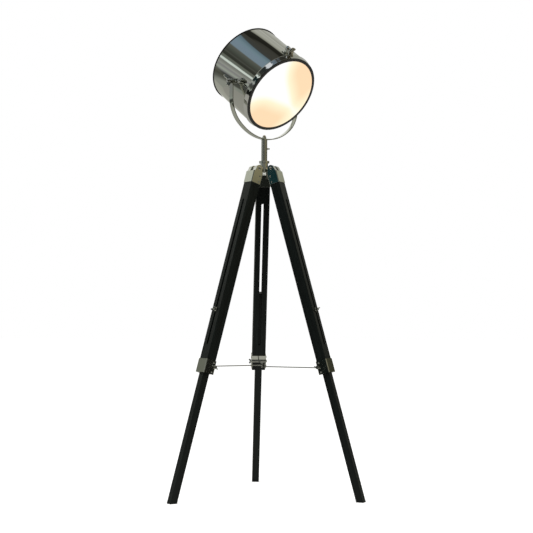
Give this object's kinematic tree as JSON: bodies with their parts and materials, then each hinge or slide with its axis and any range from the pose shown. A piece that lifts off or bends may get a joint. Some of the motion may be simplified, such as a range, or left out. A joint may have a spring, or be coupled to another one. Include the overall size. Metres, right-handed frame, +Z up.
{
  "type": "tripod spotlight floor lamp",
  "caption": "Floor lamp with a drum-shaped spotlight head that pans and tilts in a U-shaped yoke, on a short pole over a folding tripod with telescoping slotted legs.",
  "frame": {"origin": "On the floor, in the middle of the box round the three feet and the head.", "axes": "+Z up. +Y towards the back leg, -Y towards the viewer of the picture, +X to that viewer's right."},
  "size_m": [0.6166, 0.5582, 1.5193],
  "materials": {
    "polished_fittings": "polished",
    "pole_chrome": "polished",
    "drum_chrome": "polished",
    "bezel_chrome": "polished",
    "yoke_chrome": "polished",
    "screw_chrome": "polished",
    "black_trim": "satin",
    "washer_steel": "brushed",
    "brace_steel": "satin",
    "frosted_lens": "frosted",
    "bulb_glass": "frosted",
    "holder_ceramic": "glazed",
    "gland_plastic": "matte",
    "black_wood": "satin lacquer"
  },
  "bodies": {
    "stand": {"hub_casting": "polished_fittings", "pole_tube": "pole_chrome", "hinge_pins": "screw_chrome"},
    "pan_lock": {"pan_lock_screw": "screw_chrome"},
    "yoke": {"yoke": "yoke_chrome", "yoke_spigot": "yoke_chrome", "acorn_nut": "yoke_chrome", "pivot_washers": "washer_steel"},
    "head": {"pivot_bolts": "screw_chrome", "side_brackets": "yoke_chrome", "bracket_screws": "screw_chrome", "drum_shell": "drum_chrome", "back_bead_ring": "black_trim", "rear_cover": "drum_chrome", "rear_cover_screws": "screw_chrome", "cable_gland": "gland_plastic", "lamp_holder": "holder_ceramic", "lamp_holder_bracket": "washer_steel", "bulb": "bulb_glass", "clamp_lug": "bezel_chrome"},
    "pivot_nut_left": {"pivot_wing_nut_left": "screw_chrome"},
    "pivot_nut_right": {"pivot_wing_nut_right": "screw_chrome"},
    "bezel": {"bezel_ring": "bezel_chrome", "bezel_lug": "bezel_chrome", "black_rim": "black_trim", "lens": "frosted_lens"},
    "bezel_screw": {"bezel_wing_screw": "screw_chrome"},
    "leg_back": {"upper_leg_back": "black_wood", "leg_socket_back": "polished_fittings", "leg_collar_back": "polished_fittings", "leg_screws_back": "screw_chrome", "brace_bolt_back": "screw_chrome"},
    "bar_back": {"lower_leg_back": "black_wood"},
    "lock_back": {"lock_screw_back": "screw_chrome"},
    "brace_nut_back": {"brace_wing_nut_back": "screw_chrome"},
    "rod_back": {"brace_rod_back": "brace_steel"},
    "leg_left": {"upper_leg_left": "black_wood", "leg_socket_left": "polished_fittings", "leg_collar_left": "polished_fittings", "leg_screws_left": "screw_chrome", "brace_bolt_left": "screw_chrome"},
    "bar_left": {"lower_leg_left": "black_wood"},
    "lock_left": {"lock_screw_left": "screw_chrome"},
    "brace_nut_left": {"brace_wing_nut_left": "screw_chrome"},
    "rod_left": {"brace_rod_left": "brace_steel"},
    "leg_right": {"upper_leg_right": "black_wood", "leg_socket_right": "polished_fittings", "leg_collar_right": "polished_fittings", "leg_screws_right": "screw_chrome", "brace_bolt_right": "screw_chrome"},
    "bar_right": {"lower_leg_right": "black_wood"},
    "lock_right": {"lock_screw_right": "screw_chrome"},
    "brace_nut_right": {"brace_wing_nut_right": "screw_chrome"},
    "rod_right": {"brace_rod_right": "brace_steel"},
    "boss": {"brace_boss": "brace_steel"}
  },
  "joints": [
    {"name": "pan_lock_turn", "type": "hinge", "parent": "stand", "child": "pan_lock", "pos_m": [-0.01297, -0.07116, 1.1227], "axis": [1, 0, 0], "continuous": true},
    {"name": "yoke_pan", "type": "hinge", "parent": "stand", "child": "yoke", "pos_m": [-0.01297, -0.07116, 1.32448], "axis": [0, 0, 1], "range_deg": [-175, 175]},
    {"name": "head_tilt", "type": "hinge", "parent": "yoke", "child": "head", "pos_m": [-0.01297, -0.07116, 1.32448], "axis": [0.6959, 0.7181, 0], "range_deg": [-62, 37]},
    {"name": "pivot_nut_left_turn", "type": "hinge", "parent": "head", "child": "pivot_nut_left", "pos_m": [-0.12076, -0.18239, 1.32448], "axis": [-0.6959, -0.7181, 0], "continuous": true},
    {"name": "pivot_nut_right_turn", "type": "hinge", "parent": "head", "child": "pivot_nut_right", "pos_m": [0.09483, 0.04008, 1.32448], "axis": [0.6959, 0.7181, 0], "continuous": true},
    {"name": "bezel_pull", "type": "slide", "parent": "head", "child": "bezel", "axis": [0.5713, -0.5536, -0.606], "range_m": [0, 0.025]},
    {"name": "bezel_screw_turn", "type": "hinge", "parent": "bezel", "child": "bezel_screw", "pos_m": [0.06216, -0.1945, 1.42547], "axis": [0.5713, -0.5536, -0.606], "continuous": true},
    {"name": "leg_fold_back", "type": "hinge", "parent": "stand", "child": "leg_back", "pos_m": [-0.01564, -0.03726, 1.055], "axis": [-0.9969, -0.0785, 0], "range_deg": [0, 13]},
    {"name": "leg_fold_left", "type": "hinge", "parent": "stand", "child": "leg_left", "pos_m": [-0.04099, -0.09041, 1.055], "axis": [0.5664, -0.8241, 0], "range_deg": [0, 13]},
    {"name": "leg_fold_right", "type": "hinge", "parent": "stand", "child": "leg_right", "pos_m": [0.01772, -0.08579, 1.055], "axis": [0.4305, 0.9026, 0], "range_deg": [0, 13]},
    {"name": "leg_slide_back", "type": "slide", "parent": "leg_back", "child": "bar_back", "axis": [0.0218, -0.2765, 0.9608], "range_m": [-0.11, 0.36]},
    {"name": "lock_turn_back", "type": "hinge", "parent": "bar_back", "child": "lock_back", "pos_m": [-0.02608, 0.09544, 0.59383], "axis": [-0.0754, 0.9578, 0.2773], "continuous": true},
    {"name": "leg_slide_left", "type": "slide", "parent": "leg_left", "child": "bar_left", "axis": [0.2285, 0.1571, 0.9608], "range_m": [-0.11, 0.36]},
    {"name": "lock_turn_left", "type": "hinge", "parent": "bar_left", "child": "lock_left", "pos_m": [-0.15069, -0.16581, 0.59383], "axis": [-0.7918, -0.5442, 0.2773], "continuous": true},
    {"name": "leg_slide_right", "type": "slide", "parent": "leg_right", "child": "bar_right", "axis": [-0.2503, 0.1194, 0.9608], "range_m": [-0.11, 0.36]},
    {"name": "lock_turn_right", "type": "hinge", "parent": "bar_right", "child": "lock_right", "pos_m": [0.13786, -0.1431, 0.59383], "axis": [0.8672, -0.4136, 0.2773], "continuous": true},
    {"name": "brace_nut_turn_back", "type": "hinge", "parent": "leg_back", "child": "brace_nut_back", "pos_m": [-0.02852, 0.12643, 0.42482], "axis": [-0.9969, -0.0785, 0], "continuous": true},
    {"name": "brace_nut_turn_left", "type": "hinge", "parent": "leg_left", "child": "brace_nut_left", "pos_m": [-0.17836, -0.18483, 0.41617], "axis": [0.5664, -0.8241, 0], "continuous": true},
    {"name": "brace_nut_turn_right", "type": "hinge", "parent": "leg_right", "child": "brace_nut_right", "pos_m": [0.16818, -0.15756, 0.41617], "axis": [-0.4305, -0.9026, 0], "continuous": true},
    {"name": "rod_hinge_back", "type": "hinge", "parent": "leg_back", "child": "rod_back", "pos_m": [-0.02852, 0.12643, 0.42482], "axis": [-0.9969, -0.0785, 0], "range_deg": [-13, 0]},
    {"name": "rod_hinge_left", "type": "hinge", "parent": "leg_left", "child": "rod_left", "pos_m": [-0.17836, -0.18483, 0.41617], "axis": [0.5664, -0.8241, 0], "range_deg": [-13, 0]},
    {"name": "rod_hinge_right", "type": "hinge", "parent": "leg_right", "child": "rod_right", "pos_m": [0.16818, -0.15756, 0.41617], "axis": [0.4305, 0.9026, 0], "range_deg": [-13, 0]},
    {"name": "boss_slide", "type": "slide", "parent": "rod_back", "child": "boss", "axis": [-0.0785, 0.9969, 0], "range_m": [0, 0.147]}
  ],
  "couplings": [
    {"joint": "leg_fold_left", "follows": "leg_fold_back", "ratio": 0.975},
    {"joint": "leg_fold_right", "follows": "leg_fold_back", "ratio": 0.975},
    {"joint": "rod_hinge_back", "follows": "leg_fold_back", "ratio": -1},
    {"joint": "rod_hinge_left", "follows": "leg_fold_back", "ratio": -0.975},
    {"joint": "rod_hinge_right", "follows": "leg_fold_back", "ratio": -0.975},
    {"joint": "boss_slide", "follows": "leg_fold_back", "m_per_rad": 0.6415}
  ]
}
